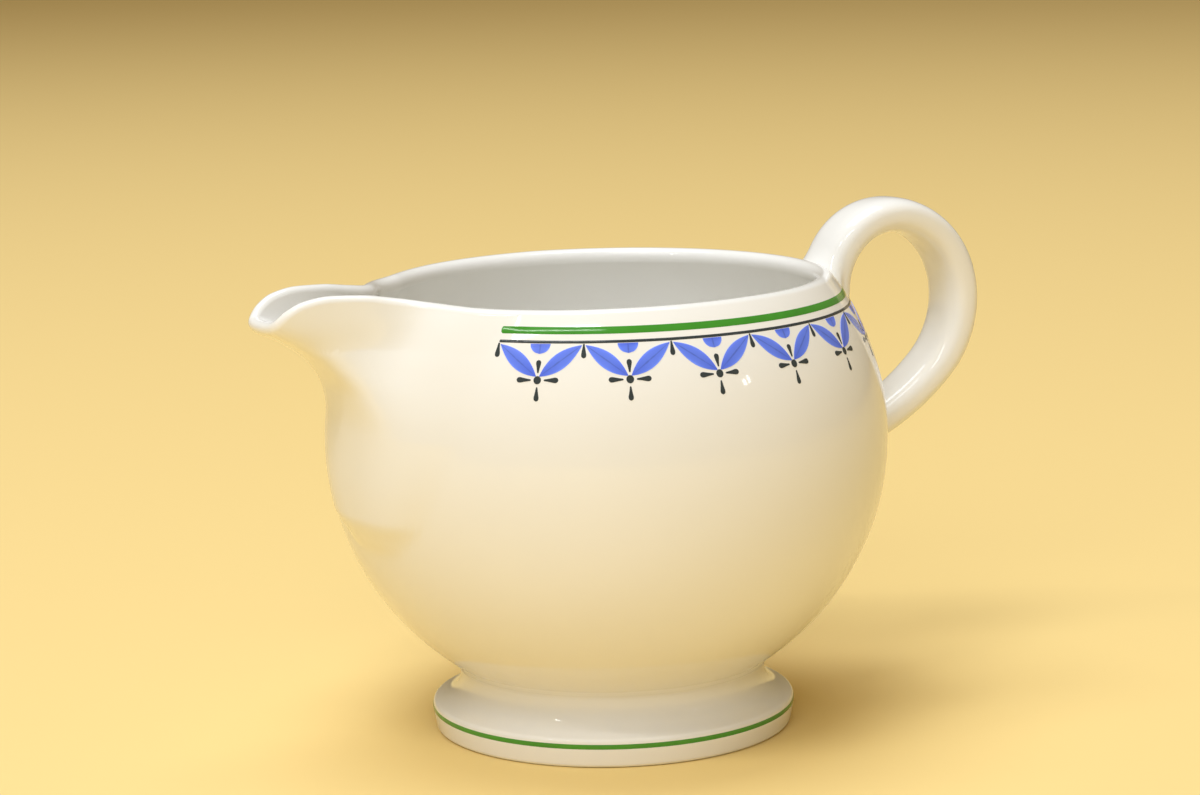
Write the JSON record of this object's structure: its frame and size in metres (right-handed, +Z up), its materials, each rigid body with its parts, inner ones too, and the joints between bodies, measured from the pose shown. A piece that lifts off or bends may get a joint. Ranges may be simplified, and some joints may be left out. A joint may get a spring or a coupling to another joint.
{
  "type": "cream jug",
  "caption": "Small round porcelain cream jug with a pouring spout, a strap handle, a turned foot ring and a painted leaf border.",
  "frame": {"origin": "centre of the foot ring's standing face, on the bowl's axis", "axes": "+Z up along the bowl's axis, -X towards the spout, +X towards the handle, X-Z is the jug's plane of symmetry"},
  "size_m": [0.1376, 0.095, 0.0862],
  "materials": {
    "porcelain": "clear gloss glaze over ivory-white porcelain",
    "slip": "porcelain slip, smoothed and glazed over with the body",
    "green_enamel": "glossy green on-glaze enamel",
    "dark_enamel": "dark slate on-glaze enamel",
    "blue_enamel": "washed blue on-glaze enamel"
  },
  "bodies": {
    "root": {"bowl": "porcelain", "spout": "porcelain", "foot": "porcelain", "handle": "porcelain", "foot_slip_seam": "slip", "spout_slip_seam": "slip", "handle_upper_slip_seam": "slip", "handle_lower_slip_seam": "slip", "foot_band": "green_enamel", "rim_band_front": "green_enamel", "border_line_front": "dark_enamel", "leaves_front": "blue_enamel", "half_dots_front": "blue_enamel", "flowers_front": "dark_enamel", "drops_front": "dark_enamel", "rim_band_back": "green_enamel", "border_line_back": "dark_enamel", "leaves_back": "blue_enamel", "half_dots_back": "blue_enamel", "flowers_back": "dark_enamel", "drops_back": "dark_enamel"}
  },
  "joints": []
}
